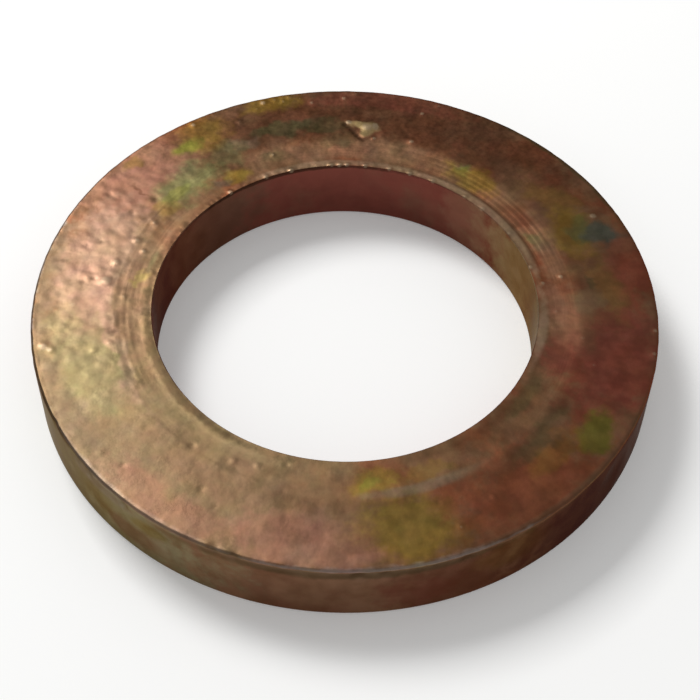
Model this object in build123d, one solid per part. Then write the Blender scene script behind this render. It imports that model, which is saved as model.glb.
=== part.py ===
"""A heavy plain ring washer, blanked and turned from steel plate, then zinc plated.

It is one piece. Its section is drawn once, to the right of the axis, and turned about it.
The washer lies on its back face. +Z runs along the bore, and the origin is where the
bore's axis meets the plane of the back face. Millimetres throughout.
"""

from build123d import *

import os

# The ring itself: its width, from bore to rim, makes it 34 mm across
bore_diameter = 21.0
ring_width = 6.5
thickness = 4.0

# Its edges: the front rim is slightly rolled over, and the back edges are only broken
front_rim_round = 0.18
back_rim_break = 0.12
back_bore_break = 0.12

# The shallow land turned into the front face, all round the bore, and the arc that leads into it
land_width = 2.35
land_depth = 0.08
land_blend = 12.0

# The lip of metal that stands between the land and the bore
lip_width = 0.55
lip_height = 0.03
lip_break = 0.05

# The rings that the tool left in the inner part of the land
ring_pitch = 0.35
ring_depth = 0.010
smooth_width = 0.38

# Radii, heights and the number of whole rings that fit, which follow from those sizes
bore_radius = bore_diameter / 2
outer_radius = bore_radius + ring_width
land_radius = bore_radius + land_width
lip_radius = bore_radius + lip_width
land_floor = thickness - land_depth
lip_top = land_floor + lip_height
ring_count = int((land_width - lip_width - smooth_width) / ring_pitch)


def land_height(radius):
    """Height of the sloping land at a radius between the lip and the flat of the front face."""
    return land_floor + land_depth * (radius - lip_radius) / (land_radius - lip_radius)


def tool_ring(number):
    """The crest and the valley of one tool ring. Ring 0 lies against the lip."""
    crest = lip_radius + ring_pitch * (number + 1)
    valley = lip_radius + ring_pitch * (number + 0.5)
    return [(crest, land_height(crest)), (valley, land_height(valley) - ring_depth)]


def ring_section():
    """The washer's section: flat back, straight walls, flat front, ringed land and lip."""
    front_rim = (outer_radius, thickness)
    back_rim = (outer_radius, 0)
    back_bore = (bore_radius, 0)
    land_edge = (land_radius, thickness)
    lip_edge = (bore_radius, lip_top)
    outline = [back_bore, back_rim, front_rim, land_edge]
    for number in reversed(range(ring_count)):
        outline += tool_ring(number)
    outline += [(lip_radius, land_floor), (lip_radius - lip_height, lip_top), lip_edge]
    with BuildSketch(Plane.XZ) as section:
        with BuildLine():
            Polyline(*outline, close=True)
        make_face()
        for corner, size in ((front_rim, front_rim_round), (land_edge, land_blend)):
            fillet(section.vertices().sort_by_distance(Vector(*corner))[0], size)
        for corner, size in (
            (back_rim, back_rim_break),
            (back_bore, back_bore_break),
            (lip_edge, lip_break),
        ):
            chamfer(section.vertices().sort_by_distance(Vector(*corner))[0], size)
    return section.sketch


def make_washer():
    """The whole washer, as one solid of revolution."""
    washer = revolve(ring_section(), axis=Axis.Z)
    washer.label = "washer"
    return washer


os.makedirs("parts", exist_ok=True)
export_step(make_washer(), "parts/washer.step")
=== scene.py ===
"""A thick ring washer in yellow passivated zinc, on a plain pale floor.

The ring is turned row by row from a circle, given its plate grain, worn lip, sheared rim and
dents, and plated with one layered finish. Lengths that are named in millimetres are changed
to metres where they are used. Angles go round the ring in degrees from +X, seen from above.
"""

import math
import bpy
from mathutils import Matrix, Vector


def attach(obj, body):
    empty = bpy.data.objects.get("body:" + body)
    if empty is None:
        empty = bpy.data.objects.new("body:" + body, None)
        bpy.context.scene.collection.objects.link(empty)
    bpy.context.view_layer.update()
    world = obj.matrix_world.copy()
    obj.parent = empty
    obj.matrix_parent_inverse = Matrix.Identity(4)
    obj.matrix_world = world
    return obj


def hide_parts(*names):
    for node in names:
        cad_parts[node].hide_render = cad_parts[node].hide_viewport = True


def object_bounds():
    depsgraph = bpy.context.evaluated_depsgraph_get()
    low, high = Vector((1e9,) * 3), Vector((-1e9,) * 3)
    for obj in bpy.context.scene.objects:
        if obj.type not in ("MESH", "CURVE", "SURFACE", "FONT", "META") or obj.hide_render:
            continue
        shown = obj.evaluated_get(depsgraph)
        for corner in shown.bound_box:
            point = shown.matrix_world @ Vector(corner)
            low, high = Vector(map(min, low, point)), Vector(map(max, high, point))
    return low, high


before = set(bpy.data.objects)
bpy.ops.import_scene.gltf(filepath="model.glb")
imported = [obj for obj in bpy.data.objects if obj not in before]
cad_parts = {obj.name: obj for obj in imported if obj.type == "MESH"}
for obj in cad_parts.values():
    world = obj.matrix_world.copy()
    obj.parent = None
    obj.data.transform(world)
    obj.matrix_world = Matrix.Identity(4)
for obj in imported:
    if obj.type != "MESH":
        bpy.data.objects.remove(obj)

from types import SimpleNamespace

import bmesh
import bpy
from mathutils import Matrix, Vector
from mathutils.kdtree import KDTree

bl_info = {
    "name": "Plated ring washer",
    "version": (1, 0, 0),
    "blender": (4, 5, 0),
    "location": "View3D > Sidebar > Washer",
    "description": "Turns, wears and plates a thick ring washer and sets it in a pale studio",
    "category": "Object",
}

MM = 0.001
CAD_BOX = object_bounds()
RING_NODE = "washer"
FLOOR_WIDTH = 3000 * MM

# How many rows of the mesh round the rim and run through the blend into the land, and how far
# apart the rows are on the back, on the walls and in the land, against the front face's pitch
RIM_ROWS = 5
BLEND_ROWS = 5
BACK_ROW_SPREAD = 8
WALL_ROW_SPREAD = 1.8
LAND_ROW_SPREAD = 0.6

# How much further the lip's outer side runs than it rises
LIP_RUN = 4

# Points closer than this are merged, and edges sharper than this, in degrees, look sharp
MERGE_REACH = 0.004 * MM
SHARP_ANGLE = 35

# Radii and height of the ring's walls and front face in millimetres, where wear and film read them
RIM_RADIUS = 17.0
BORE_RADIUS = 10.5
FACE_HEIGHT = 4.0


class RingSizes(bpy.types.PropertyGroup):
    """Sizes of the ring's section, and how finely it is turned."""

    outer_radius: bpy.props.FloatProperty(
        name="Outer radius", description="From the axis to the rim",
        default=CAD_BOX[1].x, unit="LENGTH")
    thickness: bpy.props.FloatProperty(
        name="Thickness", description="From the back face to the front face",
        default=CAD_BOX[1].z, unit="LENGTH")
    bore_radius: bpy.props.FloatProperty(
        name="Bore radius", description="From the axis to the bore's wall",
        default=BORE_RADIUS * MM, unit="LENGTH")
    rim_round: bpy.props.FloatProperty(
        name="Rim rounding", description="Radius of the rolled front rim",
        default=0.18 * MM, unit="LENGTH")
    back_break: bpy.props.FloatProperty(
        name="Back edge break", description="Width of the two broken back edges",
        default=0.12 * MM, unit="LENGTH")
    land_width: bpy.props.FloatProperty(
        name="Land width", description="From the bore to the flat of the front face",
        default=2.35 * MM, unit="LENGTH")
    land_depth: bpy.props.FloatProperty(
        name="Land depth", description="How far the land has sunk beside the lip",
        default=0.08 * MM, unit="LENGTH")
    land_blend: bpy.props.FloatProperty(
        name="Land blend", description="How far the land's slope takes to begin, either side of its edge",
        default=0.27 * MM, unit="LENGTH")
    lip_width: bpy.props.FloatProperty(
        name="Lip width", description="Width of the lip round the bore",
        default=0.55 * MM, unit="LENGTH")
    lip_height: bpy.props.FloatProperty(
        name="Lip height", description="How far the lip stands above the land's floor",
        default=0.03 * MM, unit="LENGTH")
    lip_break: bpy.props.FloatProperty(
        name="Lip edge break", description="Width of the lip's worn edge at the bore",
        default=0.05 * MM, unit="LENGTH")
    ring_pitch: bpy.props.FloatProperty(
        name="Tool ring pitch", description="Distance from one tool ring to the next",
        default=0.35 * MM, unit="LENGTH")
    ring_depth: bpy.props.FloatProperty(
        name="Tool ring depth", description="Depth of each tool ring",
        default=0.010 * MM, unit="LENGTH")
    ring_count: bpy.props.IntProperty(
        name="Tool rings", description="How many rings the tool left in the land", default=4)
    row_pitch: bpy.props.FloatProperty(
        name="Row pitch", description="Distance between rows of the mesh on the front face",
        default=0.135 * MM, unit="LENGTH")
    segments: bpy.props.IntProperty(
        name="Segments", description="Faces round the ring", default=900)


class StudioSettings(bpy.types.PropertyGroup):
    """The pale floor and the soft light over it."""

    floor_colour: bpy.props.FloatVectorProperty(
        name="Floor colour", description="Colour of the floor and the backdrop",
        subtype="COLOR", size=3, default=(0.90, 0.90, 0.89))
    sky_strength: bpy.props.FloatProperty(
        name="Sky strength", description="Light that comes evenly from all round", default=0.42)
    lamp_power: bpy.props.FloatProperty(
        name="Lamp power", description="Power of the large soft lamp at the left",
        default=0.80, unit="POWER")
    glow: bpy.props.FloatProperty(
        name="Floor glow", description="What the floor shows to the camera above its own light",
        default=0.16)


def clear_selection():
    """Leaves nothing selected and nothing in edit mode."""
    if bpy.context.object and bpy.context.object.mode != "OBJECT":
        bpy.ops.object.mode_set(mode="OBJECT")
    bpy.ops.object.select_all(action="DESELECT")


def spaced(start, end, count):
    """The points that divide the way from start to end into equal steps, end included."""
    return [Vector(start).lerp(Vector(end), (n + 1) / count) for n in range(count)]


def land_height(sizes, radius):
    """Height of the front face at a radius: flat outside, then a blend, then the land's slope."""
    land = sizes.bore_radius + sizes.land_width
    lip = sizes.bore_radius + sizes.lip_width
    slope = sizes.land_depth / (land - lip)
    inward = land + sizes.land_blend - radius
    if inward <= 0:
        return sizes.thickness
    if inward < 2 * sizes.land_blend:
        return sizes.thickness - slope * inward ** 2 / (4 * sizes.land_blend)
    return sizes.thickness - slope * (inward - sizes.land_blend)


def ring_section(sizes):
    """The section's points as (radius, height), from the bore's back edge round to it again."""
    outer, bore, top = sizes.outer_radius, sizes.bore_radius, sizes.thickness
    land = bore + sizes.land_width
    lip = bore + sizes.lip_width
    floor = land_height(sizes, lip)
    crown = floor + sizes.lip_height
    rim = sizes.rim_round
    face_pitch = sizes.row_pitch
    wall_pitch = WALL_ROW_SPREAD * face_pitch
    land_pitch = LAND_ROW_SPREAD * face_pitch
    points = [Vector((bore + sizes.back_break, 0))]

    def run_to(radius, height, pitch=face_pitch):
        end = Vector((radius, height))
        count = max(1, round((end - points[-1]).length / pitch))
        points.extend(spaced(points[-1], end, count))

    run_to(outer - sizes.back_break, 0, BACK_ROW_SPREAD * face_pitch)
    run_to(outer, sizes.back_break)
    run_to(outer, top - rim, wall_pitch)
    for part in range(1, RIM_ROWS + 1):
        angle = math.radians(90 * part / RIM_ROWS)
        outward, upward = rim * math.cos(angle), rim * math.sin(angle)
        points.append(Vector((outer - rim + outward, top - rim + upward)))
    run_to(land + sizes.land_blend, top)
    for part in range(1, BLEND_ROWS + 1):
        radius = land + sizes.land_blend * (1 - 2 * part / BLEND_ROWS)
        points.append(Vector((radius, land_height(sizes, radius))))
    for number in reversed(range(sizes.ring_count)):
        crest = lip + sizes.ring_pitch * (number + 1)
        valley = lip + sizes.ring_pitch * (number + 0.5)
        run_to(crest, land_height(sizes, crest), land_pitch)
        run_to(valley, land_height(sizes, valley) - sizes.ring_depth, land_pitch)
    run_to(lip, floor, land_pitch)
    run_to(lip - LIP_RUN * sizes.lip_height, crown, land_pitch)
    run_to(bore + sizes.lip_break, crown, land_pitch)
    run_to(bore, crown - sizes.lip_break, land_pitch)
    run_to(bore, sizes.back_break, wall_pitch)
    run_to(bore + sizes.back_break, 0)
    return points


def turn_ring(name, section, segments):
    """Extrudes a circle from point to point of the section, and closes it on itself."""
    clear_selection()
    bpy.ops.mesh.primitive_circle_add(vertices=segments, radius=section[0].x)
    ring = bpy.context.object
    ring.name = name
    bpy.ops.object.mode_set(mode="EDIT")
    bpy.ops.mesh.select_all(action="SELECT")
    for here, there in zip(section, section[1:]):
        rise = (0, 0, there.y - here.y)
        bpy.ops.mesh.extrude_edges_move(TRANSFORM_OT_translate={"value": rise})
        growth = there.x / here.x
        bpy.ops.transform.resize(value=(growth, growth, 1), center_override=(0, 0, 0))
    bpy.ops.mesh.select_all(action="SELECT")
    bpy.ops.mesh.remove_doubles(threshold=MERGE_REACH)
    bpy.ops.mesh.normals_make_consistent(inside=False)
    bpy.ops.object.mode_set(mode="OBJECT")
    bpy.ops.object.shade_smooth_by_angle(angle=math.radians(SHARP_ANGLE))
    return ring


def mark_zone(ring, name, weight_at):
    """Names a zone of the ring, from a weight for each point's radius, height and angle."""
    zone = ring.vertex_groups.new(name=name)
    for point in ring.data.vertices:
        x, y, z = point.co / MM
        weight = min(1, weight_at(math.hypot(x, y), z, math.degrees(math.atan2(y, x)) % 360))
        if weight > 0:
            zone.add([point.index], weight, "REPLACE")


def ramp(value, start, end):
    """0 at the start, 1 at the end and a straight line between, whichever of them is larger."""
    return min(1, max(0, (value - start) / (end - start)))


def face_weight(radius, height, angle):
    """The front face, short of its rim and of the lip."""
    return ramp(height, 3.5, 3.7) * ramp(radius, 10.9, 11.2) * ramp(radius, 16.95, 16.6)


def lumpy_weight(radius, height, angle):
    """The lumpy part of the face at the left, and fainter parts at the far side and all round."""
    left = ramp(angle, 125, 145) * ramp(angle, 225, 200)
    far = 0.65 * ramp(angle, 60, 90) * ramp(angle, 160, 135)
    everywhere = 0.28
    strength = max(left, far, everywhere)
    return face_weight(radius, height, angle) * strength * (0.4 + 0.6 * ramp(radius, 11.5, 12.4))


def lip_weight(radius, height, angle):
    """The bore's front edge, ragged at the far side and nearly smooth at the near side."""
    ragged = ramp(angle, 5, 30) * ramp(angle, 215, 150)
    return ramp(height, 3.70, 3.85) * ramp(radius, 11.0, 10.7) * (0.25 + 0.75 * ragged)


def rim_weight(radius, height, angle):
    """The rolled front rim."""
    return ramp(height, 3.55, 3.75) * ramp(radius, 16.60, 16.80)


def wall_weight(radius, height, angle):
    """The sheared outer wall, clear of both its edges."""
    return ramp(radius, 16.90, 16.95) * ramp(height, 0.05, 0.35) * ramp(height, 3.85, 3.6)


def worn_rings_weight(radius, height, angle):
    """Where the tool rings and the lip are rubbed: away at the near side, less elsewhere."""
    near = max(ramp(angle, 205, 235), ramp(angle, 20, 8))
    far = 0.9 * ramp(angle, 65, 80) * ramp(angle, 168, 158)
    left = 0.11 * ramp(angle, 150, 160) * ramp(angle, 240, 225)
    left_lip = ramp(angle, 140, 165) * ramp(angle, 250, 225) * ramp(radius, 11.45, 11.15)
    land = ramp(height, 3.5, 3.7) * ramp(radius, 10.55, 10.65) * ramp(radius, 13.8, 13.4)
    return land * max(near, far, left, left_lip)


ZONES = {
    "face": face_weight,
    "lumpy": lumpy_weight,
    "lip": lip_weight,
    "rim": rim_weight,
    "wall": wall_weight,
    "worn_rings": worn_rings_weight,
}

# Dents and bruises: angle, radius and height of the middle, how far it reaches, and how far its
# middle goes outwards and up. Millimetres. The first three raise the flake near the far rim, the
# next seven open the crack round it, and the three after those are a faint streak beside it.
DENTS = (
    (85.6, 13.80, 4.0, 0.62, 0, 0.070),
    (83.8, 14.00, 4.0, 0.40, 0, 0.045),
    (90.2, 14.15, 4.0, 0.30, 0, 0.026),
    (91.1, 13.96, 4.0, 0.24, 0, -0.045),
    (90.3, 13.76, 4.0, 0.24, 0, -0.045),
    (89.5, 13.53, 4.0, 0.24, 0, -0.050),
    (88.8, 13.30, 4.0, 0.24, 0, -0.050),
    (88.1, 13.06, 4.0, 0.24, 0, -0.050),
    (87.2, 12.86, 4.0, 0.24, 0, -0.045),
    (86.2, 12.74, 4.0, 0.24, 0, -0.035),
    (75.0, 13.48, 4.0, 0.30, 0, -0.025),
    (76.4, 13.80, 4.0, 0.30, 0, -0.020),
    (78.0, 14.18, 4.0, 0.30, 0, -0.015),
    (248.9, 16.96, 3.95, 0.42, -0.02, -0.045),
    (252.5, 16.97, 3.85, 0.40, -0.05, -0.015),
    (230.7, 16.98, 3.5, 0.40, -0.07, 0),
    (222.0, 16.98, 3.5, 0.38, -0.07, 0),
    (218.3, 16.98, 3.5, 0.38, -0.06, 0),
    (210.0, 16.97, 3.7, 0.40, -0.05, -0.020),
    (273.0, 17.00, 3.6, 0.60, -0.06, 0),
    (277.5, 16.94, 3.6, 0.45, -0.05, 0),
    (291.4, 16.97, 3.5, 0.60, -0.05, 0),
    (240.0, 16.98, 2.6, 1.40, -0.05, 0),
    (325.6, 16.97, 2.0, 1.60, -0.07, 0),
    (165.4, 15.01, 4.0, 0.28, 0, -0.016),
    (163.7, 14.32, 4.0, 0.28, 0, -0.016),
    (152.7, 13.85, 4.0, 0.28, 0, -0.018),
    (150.3, 15.75, 4.0, 0.28, 0, -0.014),
    (175.8, 14.45, 4.0, 0.30, 0, -0.018),
    (174.6, 14.00, 4.0, 0.26, 0, -0.018),
    (146.2, 13.35, 4.0, 0.40, 0, -0.022),
    (188.4, 16.10, 4.0, 0.35, 0, -0.014),
    (190.9, 12.66, 4.0, 0.50, 0, -0.022),
    (232.0, 12.34, 4.0, 0.32, 0, -0.016),
    (240.8, 14.28, 4.0, 0.28, 0, -0.014),
    (255.8, 11.15, 4.0, 0.26, 0, -0.012),
    (290.2, 13.80, 4.0, 0.26, 0, -0.012),
    (220.9, 13.21, 4.0, 0.30, 0, -0.012),
    (225.1, 15.58, 4.0, 0.28, 0, -0.012),
    (245.1, 14.79, 4.0, 0.28, 0, -0.012),
)

# Specks of zinc that stand up from the face: angle, radius, reach and height. Millimetres.
SPECKS = (
    (192.5, 16.39, 0.48, 0.042),
    (193.6, 16.05, 0.38, 0.0315),
    (175.0, 13.24, 0.55, 0.042),
    (168.8, 13.03, 0.40, 0.0315),
    (163.1, 11.80, 0.28, 0.028),
    (160.3, 12.50, 0.36, 0.028),
    (152.9, 12.30, 0.30, 0.0245),
    (179.7, 12.09, 0.30, 0.0245),
    (195.7, 13.80, 0.32, 0.014),
    (194.4, 12.95, 0.32, 0.021),
    (182.5, 14.78, 0.60, 0.0196),
    (108.6, 16.55, 0.34, 0.042),
    (106.1, 16.61, 0.28, 0.028),
    (111.6, 12.13, 0.24, 0.028),
    (91.3, 16.22, 0.30, 0.035),
    (88.8, 16.62, 0.28, 0.028),
    (98.4, 15.94, 0.28, 0.028),
    (104.3, 16.35, 0.26, 0.028),
    (102.6, 16.62, 0.24, 0.028),
    (110.4, 16.20, 0.26, 0.0224),
    (100.8, 16.45, 0.22, 0.021),
    (115.1, 15.49, 0.26, 0.0245),
    (124.5, 16.53, 0.32, 0.0315),
    (73.8, 15.64, 0.26, 0.0315),
    (73.6, 13.11, 0.34, 0.0455),
    (71.1, 16.60, 0.26, 0.028),
    (83.4, 12.89, 0.24, 0.035),
    (25.8, 15.57, 0.36, 0.0385),
    (10.3, 12.07, 0.30, 0.035),
    (8.9, 10.99, 0.28, 0.0315),
    (358.3, 11.48, 0.28, 0.021),
    (353.0, 11.42, 0.28, 0.0196),
    (350.2, 12.96, 0.45, 0.0168),
    (342.9, 13.77, 0.40, 0.0168),
    (354.5, 16.80, 0.30, 0.028),
    (349.0, 16.80, 0.30, 0.028),
    (292.5, 15.49, 0.22, 0.0245),
    (301.3, 14.60, 0.22, 0.021),
    (242.7, 11.95, 0.30, 0.0154),
    (248.8, 11.63, 0.28, 0.014),
    (220.6, 16.05, 0.34, 0.014),
)

# Beads of zinc along the bore's front edge: their angles, and the place, reach and height of each
EDGE_BEADS = (129.7, 116.8, 108.5, 95.4, 93.0, 90.4, 84.8, 76.9, 70.2, 62.4, 50.6, 43.2, 30.4, 15.6)
BEAD_PLACE = (10.60, 3.95)
BEAD_REACH = 0.28
BEAD_HEIGHT = 0.035

# How much further than a dent its darkening, partly dirt and partly painted shade, reaches, and
# how far a mark goes in or out to count in full
DIRT_AND_SHADE_SPREAD = 1.3
FULL_MARK = 0.035


def at_angle(angle, radius, height=0):
    """The place at an angle and a radius, in the same unit as the radius."""
    turn = math.radians(angle)
    return Vector((radius * math.cos(turn), radius * math.sin(turn), height))


def all_marks():
    """Every dent, speck and bead in the form of a dent."""
    specks = [(angle, radius, FACE_HEIGHT, reach, 0, height) for angle, radius, reach, height in SPECKS]
    beads = [(angle, *BEAD_PLACE, BEAD_REACH, 0, BEAD_HEIGHT) for angle in EDGE_BEADS]
    return [*DENTS, *specks, *beads]


def point_finder(ring):
    """Finds the ring's points by their place."""
    finder = KDTree(len(ring.data.vertices))
    for point in ring.data.vertices:
        finder.insert(point.co, point.index)
    finder.balance()
    return finder


def press_marks(ring):
    """Pushes the metal at every dent, speck and bead, fading out at its reach."""
    finder = point_finder(ring)
    bpy.ops.object.mode_set(mode="EDIT")
    bpy.ops.mesh.select_all(action="DESELECT")
    metal = bmesh.from_edit_mesh(ring.data)
    for angle, radius, height, reach, outward, upward in all_marks():
        metal.verts.ensure_lookup_table()
        middle = metal.verts[finder.find(at_angle(angle, radius, height) * MM)[1]]
        middle.select_set(True)
        bpy.ops.transform.translate(
            value=at_angle(angle, outward, upward) * MM, use_proportional_edit=True,
            proportional_edit_falloff="SMOOTH", proportional_size=reach * MM)
        middle.select_set(False)
    bpy.ops.object.mode_set(mode="OBJECT")


def tone_marks(ring):
    """Notes where raised marks are paler, above 0, and where sunken ones are darker, below 0.

    The paler raised marks are partly rubbed zinc and partly painted highlight, and the darker
    sunken ones partly dirt and partly painted shade. The dark spreads a little past the mark
    that holds it, and shallow marks count for less.
    """
    wear_and_light = ring.data.attributes.new("wear_and_light", "FLOAT", "POINT")
    finder = point_finder(ring)
    for angle, radius, height, reach, outward, upward in all_marks():
        sunken = upward < 0 or outward < 0 and upward <= 0
        spread = (DIRT_AND_SHADE_SPREAD if sunken else 1.0) * reach * MM
        amount = min(1, math.hypot(outward, upward) / FULL_MARK)
        middle = at_angle(angle, radius, height) * MM
        for place, index, distance in finder.find_range(middle, spread):
            mark = amount * (1 - distance / spread)
            if abs(wear_and_light.data[index].value) < mark:
                wear_and_light.data[index].value = -mark if sunken else mark


def rub_smooth(ring, zone, rounds):
    """Levels the heights in a zone, as rubbing does."""
    rubbing = ring.modifiers.new("rub_" + zone, "SMOOTH")
    rubbing.vertex_group = zone
    rubbing.use_x = False
    rubbing.use_y = False
    rubbing.factor = 0.8
    rubbing.iterations = rounds
    bpy.ops.object.modifier_apply(modifier=rubbing.name)


def roughen(ring, name, zone, grain, height, upright=1.0, basis="IMPROVED_PERLIN"):
    """Raises and lowers a zone by cloudy grain of a size and height in millimetres.

    A grain that stands upright is drawn out along Z by the given factor.
    """
    cloud = bpy.data.textures.new(name, "CLOUDS")
    cloud.noise_scale = grain * MM
    cloud.noise_depth = 1
    cloud.noise_basis = basis
    stretcher = bpy.data.objects.new(name + "_stretch", None)
    stretcher.scale = (1, 1, upright)
    bpy.context.scene.collection.objects.link(stretcher)
    bpy.context.view_layer.update()
    relief = ring.modifiers.new(name, "DISPLACE")
    relief.texture = cloud
    relief.texture_coords = "OBJECT"
    relief.texture_coords_object = stretcher
    relief.vertex_group = zone
    relief.strength = height * MM
    relief.mid_level = 0.5
    bpy.ops.object.modifier_apply(modifier=relief.name)
    bpy.data.objects.remove(stretcher)


def wear_ring(ring):
    """Rubs the tool rings, and gives the ring its waves, plate grain, ragged edges and dents."""
    for name, weight_at in ZONES.items():
        mark_zone(ring, name, weight_at)
    clear_selection()
    ring.select_set(True)
    bpy.context.view_layer.objects.active = ring
    rub_smooth(ring, "worn_rings", rounds=40)
    roughen(ring, "face_waves", "face", grain=2.4, height=0.035)
    roughen(ring, "face_grain", "face", grain=0.50, height=0.006)
    roughen(ring, "broad_lumps", "lumpy", grain=1.10, height=0.020)
    roughen(ring, "pebbles", "lumpy", grain=0.62, height=-0.034, basis="VORONOI_F1")
    rub_smooth(ring, "lumpy", rounds=2)
    roughen(ring, "ragged_lip", "lip", grain=0.35, height=0.040)
    roughen(ring, "worn_rim", "rim", grain=0.80, height=0.050)
    roughen(ring, "rim_grain", "rim", grain=0.32, height=0.016)
    roughen(ring, "wall_waves", "wall", grain=1.8, height=0.040)
    roughen(ring, "shear_marks", "wall", grain=0.30, height=0.010, upright=6)
    ring.vertex_groups.clear()
    press_marks(ring)
    tone_marks(ring)


# Colours of the passivation film on the face and on the walls, of the barer zinc where it is
# rubbed or thin, and of dirt. Some are laid as painted light too, as the patch tables say: the
# darkest browns as painted shade and painted shadow, the pale pearl as a painted highlight, and
# the zinc on raised marks as partly painted highlight
FILM = {
    "tobacco": (0.150, 0.076, 0.040),
    "umber": (0.094, 0.040, 0.021),
    "wine": (0.175, 0.047, 0.031),
    "rust": (0.175, 0.056, 0.027),
    "copper": (0.250, 0.108, 0.062),
    "peach": (0.270, 0.160, 0.104),
    "rose": (0.235, 0.115, 0.072),
    "straw": (0.170, 0.132, 0.064),
    "tan": (0.172, 0.112, 0.059),
    "drab": (0.115, 0.078, 0.046),
    "fawn": (0.190, 0.104, 0.060),
    "olive": (0.198, 0.122, 0.018),
    "citron": (0.260, 0.182, 0.060),
    # Painted shade, partly a dull brown: damps the lamp's highlight on the lip and rim at the left
    "brown_and_shade": (0.054, 0.033, 0.017),
    # Painted highlight and reflection, partly a worn pale line, along the rolled rim and the outer wall's
    # top
    "pale_wear_and_highlight": (0.330, 0.270, 0.235),
    "lime": (0.150, 0.140, 0.024),
    "leaf": (0.118, 0.098, 0.020),
    "sage": (0.142, 0.138, 0.056),
    "green": (0.105, 0.102, 0.042),
    "moss": (0.066, 0.058, 0.026),
    "slate": (0.070, 0.068, 0.050),
    "lavender": (0.150, 0.116, 0.082),
    "khaki": (0.300, 0.205, 0.096),
    "zinc": (0.370, 0.275, 0.180),
    "taupe": (0.270, 0.170, 0.108),
    "loam": (0.275, 0.240, 0.145),
    "bark": (0.235, 0.130, 0.080),
    # Painted shade on the sides of the walls that face away from the lamp
    "shade_brown": (0.125, 0.064, 0.042),
    "plum": (0.170, 0.078, 0.050),
    "oxblood": (0.180, 0.052, 0.038),
    "sepia": (0.266, 0.178, 0.096),
    # Painted shadow under the bore's lip, and the darkening of sunken marks, partly dirt and partly
    # painted shade
    "pitch": (0.030, 0.015, 0.008),
}

# How much lighter the turned land is painted than the flat face under the same film, in each
# colour: partly the turned metal's own tone, partly painted light that makes up for the shade on
# the land's slope
LAND_TONE_AND_LIGHT = (1.22, 1.29, 1.25)
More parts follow.
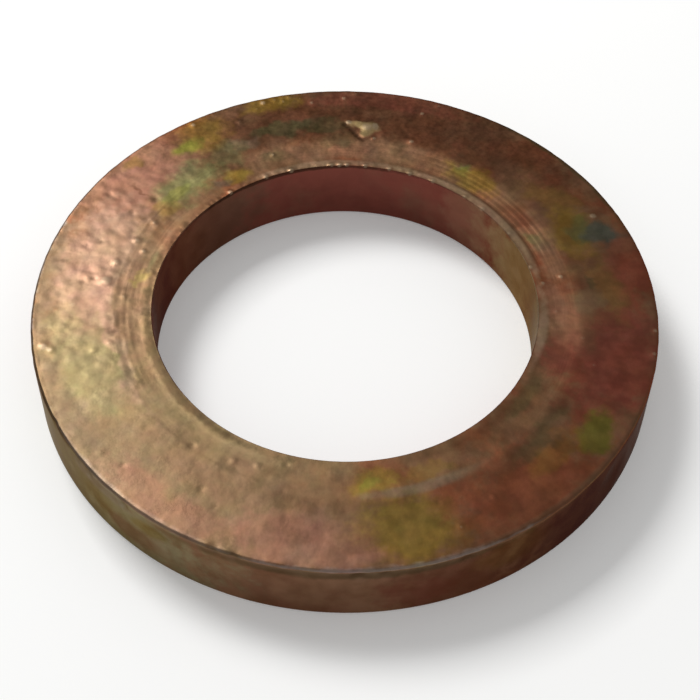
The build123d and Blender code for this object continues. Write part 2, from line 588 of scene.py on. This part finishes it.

# Patches of film on the front face: colour, angle and radius of the middle, half length round
# the ring, half width across it, and strength. Millimetres. Later patches lie over earlier ones.
# Some are partly painted light, as marked below.
FACE_PATCHES = (
    # The paler tan over the left half is partly the film's own tone and partly painted highlight, on the
    # side the lamp lights
    ("tan", 215, 14.0, 20.0, 9.0, 1.00),
    ("umber", 64, 15.0, 9.0, 3.2, 0.72),
    ("umber", 100, 14.9, 7.0, 2.4, 0.75),
    ("umber", 118, 13.2, 4.0, 3.8, 0.70),
    ("wine", 82, 16.2, 6.0, 1.2, 0.45),
    ("rose", 144, 14.9, 5.5, 3.4, 0.90),
    # The peach at the left is partly painted highlight, where the lamp's highlight is brightest
    ("peach", 170, 14.0, 6.2, 2.9, 0.92),
    ("straw", 188, 15.3, 2.4, 1.2, 0.45),
    ("straw", 201, 14.3, 3.9, 2.5, 0.90),
    ("drab", 222, 14.8, 3.0, 1.4, 0.35),
    # The fawn and peach by the land at the left are partly painted highlight, which lightens the land and
    # its edge where the lamp's highlight falls
    ("fawn", 182, 11.6, 8.0, 1.3, 0.70),
    ("peach", 192, 12.7, 7.5, 0.55, 0.60),
    ("drab", 213, 16.3, 7.0, 1.3, 0.70),
    ("drab", 176, 16.6, 5.5, 0.9, 0.60),
    ("rose", 236, 15.9, 5.0, 1.3, 0.55),
    ("fawn", 243, 12.8, 5.5, 1.9, 0.50),
    ("rose", 262, 15.4, 4.2, 2.2, 0.90),
    ("tobacco", 270, 12.6, 4.5, 1.2, 0.70),
    ("umber", 316, 11.8, 6.5, 2.0, 0.50),
    ("olive", 283.5, 14.9, 3.3, 2.5, 0.72),
    ("moss", 284, 14.6, 2.4, 1.6, 0.22),
    ("olive", 278, 11.9, 1.9, 1.0, 0.58),
    ("lime", 277, 12.0, 0.7, 0.5, 0.50),
    ("olive", 291, 12.1, 1.9, 0.6, 0.25),
    # A pale line along the land's edge at the near side, partly a smear and partly painted highlight on
    # the edge's crest
    ("lavender", 290, 12.65, 4.0, 0.42, 0.45),
    ("rust", 308, 15.2, 5.5, 3.2, 0.95),
    ("umber", 302, 16.4, 4.2, 0.8, 0.35),
    ("rose", 267, 16.1, 3.6, 1.1, 0.75),
    ("copper", 271, 16.3, 2.6, 0.9, 0.60),
    ("peach", 268, 16.3, 3.0, 0.8, 0.35),
    ("wine", 346, 14.8, 6.0, 3.4, 0.85),
    ("wine", 345, 11.8, 2.2, 1.3, 0.80),
    ("copper", 357, 12.1, 2.6, 1.6, 0.60),
    ("rose", 0, 11.4, 2.2, 0.9, 0.50),
    ("tobacco", 8, 14.0, 4.4, 2.0, 0.70),
    ("olive", 6, 14.6, 3.2, 1.3, 0.25),
    ("tan", 2, 13.3, 1.5, 1.0, 0.60),
    ("tobacco", 352, 13.2, 2.2, 0.6, 0.40),
    ("moss", 8, 13.6, 0.5, 0.5, 0.50),
    ("wine", 13, 16.0, 3.4, 1.3, 0.50),
    ("leaf", 327.5, 15.6, 1.7, 1.1, 0.90),
    ("moss", 317, 13.5, 3.2, 0.8, 0.50),
    ("olive", 318, 14.7, 2.6, 1.0, 0.28),
    ("moss", 327, 11.2, 2.4, 0.7, 0.45),
    ("tobacco", 37, 13.8, 4.4, 1.8, 0.70),
    ("olive", 24, 13.8, 2.2, 1.5, 0.55),
    ("green", 24, 14.4, 1.3, 0.9, 0.80),
    ("slate", 20.8, 15.35, 1.0, 1.2, 0.95),
    ("copper", 38, 11.9, 5.6, 0.9, 0.30),
    ("green", 25, 11.7, 1.2, 0.6, 0.60),
    ("fawn", 88, 12.0, 8.0, 1.4, 0.60),
    ("fawn", 30, 12.7, 2.6, 0.7, 0.50),
    ("fawn", 17, 11.9, 2.4, 0.8, 0.60),
    ("olive", 33, 14.1, 3.0, 1.4, 0.30),
    ("green", 57.5, 12.4, 0.8, 0.6, 0.85),
    ("lime", 57.5, 12.4, 0.5, 0.4, 0.40),
    ("olive", 53, 12.1, 2.6, 0.9, 0.60),
    ("moss", 97, 13.95, 2.2, 0.6, 0.60),
    ("moss", 108, 14.0, 2.6, 0.7, 0.75),
    ("moss", 93, 12.9, 1.2, 0.8, 0.45),
    ("lavender", 118.5, 13.5, 1.2, 0.7, 0.35),
    ("moss", 112, 11.8, 1.3, 0.7, 0.50),
    ("olive", 107, 16.4, 2.4, 1.0, 0.62),
    ("olive", 124, 15.5, 2.2, 1.8, 0.50),
    ("green", 123, 13.4, 1.6, 1.2, 0.50),
    ("tobacco", 118, 11.5, 1.5, 0.8, 0.50),
    ("olive", 125, 11.5, 0.9, 0.9, 0.60),
    ("sage", 136, 12.7, 2.6, 1.8, 0.80),
    ("lime", 140, 12.5, 0.9, 0.6, 0.40),
    ("lime", 129, 15.1, 1.3, 0.9, 0.85),
    ("slate", 130, 11.3, 0.7, 0.5, 0.45),
    ("olive", 146, 12.2, 1.3, 0.8, 0.35),
    ("olive", 141, 16.3, 1.0, 0.7, 0.45),
    ("umber", 144.5, 14.2, 0.13, 0.9, 0.60),
    ("citron", 173, 11.2, 0.7, 0.50, 0.65),
    ("moss", 167, 10.95, 0.9, 0.45, 0.65),
    ("taupe", 42, 10.78, 8.0, 0.40, 0.75),
    ("taupe", 95, 10.76, 6.0, 0.34, 0.50),
    ("taupe", 352, 10.78, 3.0, 0.40, 0.80),
    ("umber", 36, 11.08, 5.0, 0.12, 0.55),
    # Painted shade on the lip at the left, partly its dull brown, which damps the lamp's highlight on the
    # lip's slope
    ("brown_and_shade", 207, 10.80, 10.5, 0.42, 0.92),
    ("umber", 150, 10.75, 5.0, 0.40, 0.45),
)

# Patches of barer, paler zinc on the flake, in the same form. The palest, at its two ends, are
# partly painted highlight where the raised ends catch the light
FLAKE_PATCHES = (
    ("khaki", 85.0, 13.80, 0.72, 0.56, 1.00),
    ("khaki", 86.6, 13.92, 0.88, 0.34, 1.00),
    ("khaki", 85.6, 13.40, 0.50, 0.52, 0.90),
    ("khaki", 88.6, 14.12, 0.55, 0.20, 0.80),
    # Partly painted highlight at the flake's raised ends
    ("zinc", 83.6, 13.86, 0.26, 0.30, 0.60),
    ("zinc", 90.2, 14.16, 0.24, 0.20, 0.60),
)

# Patches of film on the two walls, with the height of the middle in place of the radius, and
# half the height in place of half the width. Some are painted shade and some painted highlight,
# as marked below
OUTER_PATCHES = (
    ("loam", 216, 2.0, 12.0, 6.0, 1.00),
    ("olive", 224, 2.2, 2.0, 1.2, 0.22),
    ("plum", 232, 1.4, 2.6, 1.2, 0.50),
    # A pale line on the wall's top at the lower left: painted highlight, partly wear
    ("pale_wear_and_highlight", 224, 3.45, 3.4, 0.7, 0.40),
    ("plum", 291, 2.0, 4.0, 6.0, 0.90),
    # Painted shade on the wall's right side, which faces away from the lamp
    ("shade_brown", 324, 2.0, 9.5, 6.0, 1.00),
    ("oxblood", 283, 1.6, 2.4, 1.6, 0.35),
    # The wall's top at the near side darkened: partly its own dull tone, partly painted shade that damps
    # the floor's bright reflection
    ("drab", 271, 3.68, 11.0, 0.50, 0.85),
    ("olive", 236, 2.8, 1.4, 0.7, 0.38),
    ("olive", 300, 2.6, 2.6, 1.6, 0.22),
)
BORE_PATCHES = (
    ("sepia", 14, 2.0, 6.2, 6.0, 1.00),
    ("loam", 355, 2.0, 2.6, 6.0, 0.50),
    ("bark", 48, 2.0, 2.2, 6.0, 0.40),
    # Painted shade on the bore's far left, where the floor inside the bore lies in shadow
    ("shade_brown", 138, 2.0, 4.2, 6.0, 0.80),
    ("plum", 166, 2.0, 5.4, 7.0, 1.00),
    # Painted shadow under the lip's overhang, along the top of the bore's far wall
    ("pitch", 112, 3.86, 9.5, 0.17, 0.80),
)

# Patches of film on the rolled front rim, in the same form as on the walls. Some of them are
# partly painted light, as marked below
RIM_PATCHES = (
    ("drab", 312, 3.94, 9.0, 0.30, 0.40),
    # Painted shade on the rim at the left, partly a dull band, which damps the lamp's highlight along it
    ("brown_and_shade", 194, 3.98, 10.5, 0.40, 0.62),
    # Painted highlight and reflection along the rolled rim, partly a worn pale line
    ("pale_wear_and_highlight", 231, 3.950, 8.5, 0.095, 0.20),
    ("pale_wear_and_highlight", 278, 3.945, 9.5, 0.075, 0.60),
    ("pale_wear_and_highlight", 168, 3.88, 12.0, 0.13, 0.90),
    ("moss", 40, 3.94, 8.0, 0.30, 0.60),
)

# Half the depth of a patch, down through the face or in through a wall, and the place and the
# width of the rim's patches. A face patch narrower than the last of these keeps to its radius.
FACE_PATCH_DEPTH = 3
WALL_PATCH_DEPTH = 2
RIM_PATCH_RADIUS = 16.9
RIM_PATCH_WIDTH = 0.32
NARROW_PATCH = 0.5

# The patches' node group, how ragged their edges are, and a limit too wide for a place to wrap at
PATCH_GROUP = "film_patch"
PATCH_RAGGEDNESS = 0.85
NEVER_ROUND = 99

# The Mix node's sockets for colours
MIX_UNDER = 6
MIX_OVER = 7
MIX_RESULT = 2


def add(tree, kind, inputs=None, **settings):
    """Adds a node, with its settings, its inputs' values and the links into it."""
    made = tree.nodes.new("ShaderNode" + kind)
    for name, value in settings.items():
        setattr(made, name, value)
    for socket, value in (inputs or {}).items():
        if isinstance(value, bpy.types.NodeSocket):
            tree.links.new(value, made.inputs[socket])
        else:
            made.inputs[socket].default_value = value
    return made


def reckon(tree, operation, *values):
    """The result of one sum on numbers."""
    return add(tree, "Math", dict(enumerate(values)), operation=operation).outputs[0]


def product(tree, first, *others):
    """All the numbers multiplied together."""
    for other in others:
        first = reckon(tree, "MULTIPLY", first, other)
    return first


def soften(tree, value, start, end, low=0.0, high=1.0):
    """Carries a value smoothly from low to high between a start and an end."""
    inputs = {"Value": value, "From Min": start, "From Max": end, "To Min": low, "To Max": high}
    return add(tree, "MapRange", inputs, interpolation_type="SMOOTHSTEP").outputs["Result"]


def cloud_noise(tree, place, grain, detail, roughness):
    """Cloudy noise whose features are about a grain wide, in millimetres."""
    inputs = {"Vector": place, "Scale": 1 / grain, "Detail": detail, "Roughness": roughness}
    return add(tree, "TexNoise", inputs, noise_dimensions="3D")


def reckon_vector(tree, operation, *values):
    """The result of one sum on vectors, which is a number where it is a length."""
    made = add(tree, "VectorMath", dict(enumerate(values)), operation=operation)
    return made.outputs["Value" if operation == "LENGTH" else "Vector"]


def split(tree, vector):
    """The three numbers that a vector holds."""
    return tuple(add(tree, "SeparateXYZ", {0: vector}).outputs)


def join(tree, *numbers):
    """A vector of two or three numbers."""
    return add(tree, "CombineXYZ", dict(enumerate(numbers))).outputs[0]


def swing_noise(tree, place, grain, detail, roughness):
    """Cloudy noise that swings evenly about 0."""
    clouds = cloud_noise(tree, place, grain, detail, roughness).outputs["Fac"]
    return reckon(tree, "SUBTRACT", clouds, 0.5)


def lay(tree, under, over, mask, how="MIX"):
    """Lays one colour over another where the mask says so."""
    mix = add(tree, "Mix", {"Factor": mask}, data_type="RGBA", blend_type=how)
    for number, colour in ((MIX_UNDER, under), (MIX_OVER, over)):
        if isinstance(colour, bpy.types.NodeSocket):
            tree.links.new(colour, mix.inputs[number])
        else:
            mix.inputs[number].default_value = (*colour, 1)
    return mix.outputs[MIX_RESULT]


def new_group(name, inputs, outputs):
    """An empty node group with named inputs and outputs, and its two end nodes."""
    group = bpy.data.node_groups.new(name, "ShaderNodeTree")
    for direction, sockets in (("INPUT", inputs), ("OUTPUT", outputs)):
        for socket, kind in sockets.items():
            group.interface.new_socket(socket, in_out=direction, socket_type="NodeSocket" + kind)
    start = group.nodes.new("NodeGroupInput")
    end = group.nodes.new("NodeGroupOutput")
    return group, start, end


def film_patch_group():
    """Makes the group for a patch of film: an oval bent round the ring, with ragged edges.

    The place and the middle are a radius, an angle and a height, and the reach is one over
    the half size along each of them. Only the angle comes round again.
    """
    inputs = {
        "Place": "Vector", "Middle": "Vector", "Reach": "Vector", "Mottle": "Float", "Strength": "Float",
    }
    group, start, end = new_group(PATCH_GROUP, inputs, {"Mask": "Float"})
    place, middle, reach, mottle, strength = (start.outputs[name] for name in inputs)
    away = reckon_vector(group, "SUBTRACT", place, middle)
    high = (NEVER_ROUND, math.pi, NEVER_ROUND)
    low = (-NEVER_ROUND, -math.pi, -NEVER_ROUND)
    away = reckon_vector(group, "WRAP", away, high, low)
    away = reckon_vector(group, "LENGTH", reckon_vector(group, "MULTIPLY", away, reach))
    near = reckon(group, "SUBTRACT", 1.0, away)
    ragged = reckon(group, "MULTIPLY_ADD", mottle, PATCH_RAGGEDNESS, near)
    group.links.new(soften(group, ragged, -0.05, 0.60, 0.0, strength), end.inputs["Mask"])


def lay_patch(tree, places, colour, film, middle, size, strength, place):
    """Lays one patch of film over a colour.

    Its middle is a radius, an angle and a height, and its half size runs across the ring,
    along it and up.
    """
    patch = add(tree, "Group", node_tree=bpy.data.node_groups[PATCH_GROUP])
    tree.links.new(place, patch.inputs["Place"])
    tree.links.new(places.mottle, patch.inputs["Mottle"])
    radius, angle, height = middle
    across, along, tall = size
    patch.inputs["Middle"].default_value = (radius, math.radians(angle), height)
    patch.inputs["Reach"].default_value = (1 / across, radius / along, 1 / tall)
    patch.inputs["Strength"].default_value = strength
    return lay(tree, colour, FILM[film], patch.outputs["Mask"])


def lay_band(tree, places, colour, radius, across, patches):
    """Lays the patches of a wall or a rim, which are placed by angle and height."""
    for film, angle, height, along, tall, strength in patches:
        middle, size = (radius, angle, height), (across, along, tall)
        colour = lay_patch(tree, places, colour, film, middle, size, strength, places.edge)
    return colour


def ring_places(tree):
    """Places on the ring in millimetres, and the clouds and mottling that the film shares.

    still, edge and drifting each hold a radius, an angle and a height. Clouds shift the angle
    of edge, and both the radius and the angle of drifting.
    """
    spot = add(tree, "TexCoord").outputs["Object"]
    place = reckon_vector(tree, "MULTIPLY", spot, (1 / MM, 1 / MM, 1 / MM))
    x, y, height = split(tree, place)
    flat = join(tree, x, y)
    radius = reckon_vector(tree, "LENGTH", flat)
    drift = cloud_noise(tree, place, 2.2, 3.0, 0.6).outputs["Color"]
    drift = reckon_vector(tree, "SUBTRACT", drift, (0.5, 0.5, 0.5))
    drifted = reckon_vector(tree, "MULTIPLY_ADD", drift, (2.6, 2.6, 0.0), flat)
    drifted_x, drifted_y = split(tree, drifted)[:2]
    drifted_angle = reckon(tree, "ARCTAN2", drifted_y, drifted_x)
    return SimpleNamespace(
        place=place, y=y, height=height, radius=radius, drifted_angle=drifted_angle,
        still=join(tree, radius, reckon(tree, "ARCTAN2", y, x), height),
        edge=join(tree, radius, drifted_angle, height),
        drifting=join(tree, reckon_vector(tree, "LENGTH", drifted), drifted_angle, height),
        mottle=swing_noise(tree, place, 0.80, 3.0, 0.60),
        clouds=cloud_noise(tree, place, 3.2, 4.0, 0.6).outputs["Fac"])


def face_film(tree, places):
    """The film on the front face: tobacco and rust clouds, then the patches, then the flake."""
    colour = lay(tree, FILM["tobacco"], FILM["rust"], soften(tree, places.clouds, 0.42, 0.62))
    for film, angle, radius, along, across, strength in FACE_PATCHES:
        place = places.edge if across < NARROW_PATCH else places.drifting
        middle, size = (radius, angle, FACE_HEIGHT), (across, along, FACE_PATCH_DEPTH)
        colour = lay_patch(tree, places, colour, film, middle, size, strength, place)
    for film, angle, radius, along, across, strength in FLAKE_PATCHES:
        middle, size = (radius, angle, FACE_HEIGHT), (across, along, FACE_PATCH_DEPTH)
        colour = lay_patch(tree, places, colour, film, middle, size, strength, places.still)
    return colour


def ring_film(tree, places):
    """The film all over the ring, and the masks of the front face and of the turned land."""
    radius, height, clouds = places.radius, places.height, places.clouds
    outer = lay(tree, FILM["bark"], FILM["plum"], soften(tree, clouds, 0.40, 0.70))
    outer = lay_band(tree, places, outer, RIM_RADIUS, WALL_PATCH_DEPTH, OUTER_PATCHES)
    bore = lay(tree, FILM["oxblood"], FILM["plum"], soften(tree, clouds, 0.45, 0.85))
    bore = lay_band(tree, places, bore, BORE_RADIUS, WALL_PATCH_DEPTH, BORE_PATCHES)
    outer_mask = product(tree, soften(tree, radius, 16.6, 16.8), soften(tree, height, 3.90, 3.83))
    bore_mask = product(tree, soften(tree, radius, 10.75, 10.6), soften(tree, height, 3.950, 3.925))
    land = soften(tree, radius, 13.2, 12.5)
    # The turned land is lightened here, partly as painted light on its slope
    colour = lay(tree, face_film(tree, places), LAND_TONE_AND_LIGHT, land, "MULTIPLY")
    colour = lay(tree, colour, outer, outer_mask)
    colour = lay(tree, colour, bore, bore_mask)
    colour = lay_band(tree, places, colour, RIM_PATCH_RADIUS, RIM_PATCH_WIDTH, RIM_PATCHES)
    front = reckon(tree, "SUBTRACT", 1.0, reckon(tree, "MAXIMUM", outer_mask, bore_mask))
    return colour, front, land


def turning_marks(tree, places, front, land):
    """Fine turning marks in the land, which come and go round it and fade at the near side."""
    across = reckon(tree, "MULTIPLY", places.radius, 7.0)
    along = reckon(tree, "MULTIPLY", places.drifted_angle, 2.0)
    marks = swing_noise(tree, join(tree, across, along), 1.0, 1.0, 0.5)
    turned = product(tree, land, soften(tree, places.radius, 10.9, 11.2), front)
    unrubbed = soften(tree, places.y, -9.0, -3.0)
    patchy = soften(tree, places.clouds, 0.35, 0.55, 0.2, 1.0)
    return product(tree, marks, turned, unrubbed, patchy)


def shade_film(tree, places, colour, front, turning, blotch):
    """Shades a film by its blotches, its fine grain and the turning marks, and varies its hue."""
    coarseness = soften(tree, places.y, 6.0, 14.0, 0.30, 1.10)
    fine = swing_noise(tree, places.place, 0.28, 2.0, 0.6)
    fine = reckon(tree, "MULTIPLY_ADD", fine, product(tree, coarseness, front), 1.0)
    turned = reckon(tree, "MULTIPLY_ADD", turning, 0.35, 1.0)
    shade = product(tree, soften(tree, blotch, 0.32, 0.68, 0.92, 1.08), fine, turned)
    shade = add(tree, "CombineColor", {0: shade, 1: shade, 2: shade}).outputs[0]
    colour = lay(tree, colour, shade, 1.0, "MULTIPLY")
    hue = cloud_noise(tree, places.place, 1.3, 3.0, 0.6).outputs["Color"]
    return lay(tree, colour, hue, reckon(tree, "MULTIPLY_ADD", front, 0.09, 0.03), "OVERLAY")


def mark_film(tree, places, colour):
    """Pales raised marks, partly as rubbed zinc and partly as painted highlight, and darkens sunken
    ones, partly as dirt and partly as painted shade. Gives the colour and the darkening.
    """
    wear_and_light = add(tree, "Attribute", attribute_type="GEOMETRY", attribute_name="wear_and_light").outputs["Fac"]
    wear_and_light = reckon(tree, "MULTIPLY_ADD", places.mottle, 0.8, wear_and_light)
    # Raised marks are paled, partly rubbed zinc and partly painted highlight; sunken ones darkened,
    # partly dirt and partly painted shade
    rubbed_and_highlight = soften(tree, wear_and_light, 0.35, 0.75, 0.0, 0.50)
    dirt_and_shade = product(
        tree, soften(tree, wear_and_light, -0.15, -0.70), soften(tree, places.radius, 16.6, 16.2, 0.15, 1.0))
    colour = lay(tree, colour, FILM["zinc"], rubbed_and_highlight)
    return lay(tree, colour, FILM["pitch"], product(tree, dirt_and_shade, 0.75)), dirt_and_shade


def plate_material():
    """Zinc with a yellow, iridescent passivation: film with painted shade and highlights in places,
    mottling, marks that are partly rubbed and partly painted highlight, and hollows that are partly
    dirty and partly painted shade.
    """
    material = bpy.data.materials.new("yellow_passivated_zinc")
    material.use_nodes = True
    tree = material.node_tree
    shader = tree.nodes["Principled BSDF"]
    shader.inputs["Metallic"].default_value = 0.9
    shader.inputs["Specular IOR Level"].default_value = 0.2
    shader.inputs["Specular Tint"].default_value = (0.33, 0.23, 0.18, 1)

    film_patch_group()
    places = ring_places(tree)
    colour, front, land = ring_film(tree, places)
    turning = turning_marks(tree, places, front, land)
    blotch = cloud_noise(tree, places.place, 1.1, 2.0, 0.55).outputs["Fac"]
    colour = shade_film(tree, places, colour, front, turning, blotch)
    colour, dirt_and_shade = mark_film(tree, places, colour)
    tree.links.new(colour, shader.inputs["Base Color"])

    gloss = soften(tree, blotch, 0.3, 0.7, 0.32, 0.42)
    gloss = reckon(tree, "MULTIPLY_ADD", dirt_and_shade, 0.12, gloss)
    tree.links.new(gloss, shader.inputs["Roughness"])
    grain = cloud_noise(tree, places.place, 0.24, 3.0, 0.55).outputs["Fac"]
    relief = reckon(tree, "ADD", turning, grain)
    bump = add(tree, "Bump", {"Height": relief, "Strength": 0.20, "Distance": 0.02 * MM})
    tree.links.new(bump.outputs["Normal"], shader.inputs["Normal"])
    return material


class WASHER_OT_make_ring(bpy.types.Operator):
    """Turns the ring, wears it and plates it"""

    bl_idname = "washer.make_ring"
    bl_label = "Make the ring"

    def execute(self, context):
        sizes = context.scene.washer_sizes
        ring = turn_ring("plated_ring", ring_section(sizes), sizes.segments)
        wear_ring(ring)
        ring.data.materials.append(plate_material())
        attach(ring, "root")
        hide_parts(RING_NODE)
        return {"FINISHED"}


def aim_camera():
    """The photograph's own camera, close above the ring's near side."""
    elevation = math.radians(51.25)
    roll = math.radians(-1.17)
    distance = 90.46 * MM
    aim_height = -0.29 * MM
    shift_right = -0.305 * MM
    shift_up = -0.057 * MM
    frame_width = 700
    focal_pixels = 1600
    back = Vector((0, -math.cos(elevation), math.sin(elevation)))
    level_right = Vector((1, 0, 0))
    level_up = back.cross(level_right)
    right = level_right * math.cos(roll) - level_up * math.sin(roll)
    up = level_right * math.sin(roll) + level_up * math.cos(roll)
    camera_data = bpy.data.cameras.new("studio_camera")
    camera = bpy.data.objects.new("studio_camera", camera_data)
    bpy.context.scene.collection.objects.link(camera)
    place = Vector((0, 0, aim_height)) + back * distance - right * shift_right - up * shift_up
    turn = Matrix((right, up, back)).transposed().to_4x4()
    camera.matrix_world = Matrix.Translation(place) @ turn
    camera_data.sensor_width = 36
    camera_data.lens = camera_data.sensor_width * focal_pixels / frame_width
    camera_data.clip_start = 5 * MM
    camera_data.clip_end = 5000 * MM
    bpy.context.scene.camera = camera


def soft_lamp(name, round_degrees, up_degrees, distance, size, power):
    """A square softbox that faces the ring, from a direction in degrees round and above it."""
    turn, rise = math.radians(round_degrees), math.radians(up_degrees)
    toward = Vector((math.cos(turn) * math.cos(rise), math.sin(turn) * math.cos(rise), math.sin(rise)))
    lamp_data = bpy.data.lights.new(name, "AREA")
    lamp_data.shape = "SQUARE"
    lamp_data.size = size
    lamp_data.energy = power
    lamp = bpy.data.objects.new(name, lamp_data)
    lamp.location = toward * distance
    lamp.rotation_mode = "QUATERNION"
    lamp.rotation_quaternion = toward.to_track_quat("Z", "Y")
    bpy.context.scene.collection.objects.link(lamp)


def make_floor(colour, glow):
    """A wide pale floor under the ring, which keeps its shadow and shows white to the camera."""
    clear_selection()
    bpy.ops.mesh.primitive_plane_add(size=FLOOR_WIDTH)
    floor = bpy.context.object
    floor.name = "studio_floor"
    material = bpy.data.materials.new("studio_floor_paint")
    material.use_nodes = True
    tree = material.node_tree
    shader = tree.nodes["Principled BSDF"]
    shader.inputs["Base Color"].default_value = (*colour, 1)
    shader.inputs["Roughness"].default_value = 0.9
    shader.inputs["Specular IOR Level"].default_value = 0.1
    shader.inputs["Emission Color"].default_value = (1, 1, 1, 1)
    rays = add(tree, "LightPath")
    seen = reckon(tree, "MAXIMUM", rays.outputs["Is Camera Ray"], rays.outputs["Is Glossy Ray"])
    tree.links.new(reckon(tree, "MULTIPLY", seen, glow), shader.inputs["Emission Strength"])
    floor.data.materials.append(material)


def light_sky(strength):
    """Even light from all round, which shows as white behind the floor."""
    world = bpy.data.worlds.new("studio_sky")
    world.use_nodes = True
    tree = world.node_tree
    sky = tree.nodes["Background"]
    sky.inputs["Color"].default_value = (1, 1, 1, 1)
    seen = add(tree, "LightPath").outputs["Is Camera Ray"]
    tree.links.new(reckon(tree, "MAXIMUM", seen, strength), sky.inputs["Strength"])
    bpy.context.scene.world = world


class WASHER_OT_make_studio(bpy.types.Operator):
    """Makes the floor, the sky, the lamp and the camera"""

    bl_idname = "washer.make_studio"
    bl_label = "Make the studio"

    def execute(self, context):
        studio = context.scene.washer_studio
        make_floor(studio.floor_colour, studio.glow)
        light_sky(studio.sky_strength)
        soft_lamp(
            "left_softbox", round_degrees=130, up_degrees=48, distance=340 * MM, size=130 * MM,
            power=studio.lamp_power)
        aim_camera()
        context.scene.view_settings.view_transform = "Standard"
        return {"FINISHED"}


class WASHER_PT_panel(bpy.types.Panel):
    """Lists the washer's sizes, its studio and the steps that make them"""

    bl_label = "Washer"
    bl_idname = "WASHER_PT_panel"
    bl_space_type = "VIEW_3D"
    bl_region_type = "UI"
    bl_category = "Washer"

    def draw(self, context):
        for group in (context.scene.washer_sizes, context.scene.washer_studio):
            box = self.layout.box()
            for name in group.bl_rna.properties.keys():
                if name not in ("rna_type", "name"):
                    box.prop(group, name)
        for step in STEPS:
            self.layout.operator(step.bl_idname)


STEPS = (WASHER_OT_make_ring, WASHER_OT_make_studio)
GROUPS = {"washer_sizes": RingSizes, "washer_studio": StudioSettings}


def register():
    for group in GROUPS.values():
        bpy.utils.register_class(group)
    for name, group in GROUPS.items():
        setattr(bpy.types.Scene, name, bpy.props.PointerProperty(type=group))
    for step in STEPS:
        bpy.utils.register_class(step)
    bpy.utils.register_class(WASHER_PT_panel)


def unregister():
    bpy.utils.unregister_class(WASHER_PT_panel)
    for step in reversed(STEPS):
        bpy.utils.unregister_class(step)
    for name in GROUPS:
        delattr(bpy.types.Scene, name)
    for group in reversed(tuple(GROUPS.values())):
        bpy.utils.unregister_class(group)


def main():
    register()
    bpy.ops.washer.make_ring()
    bpy.ops.washer.make_studio()


if __name__ == "__main__":
    main()
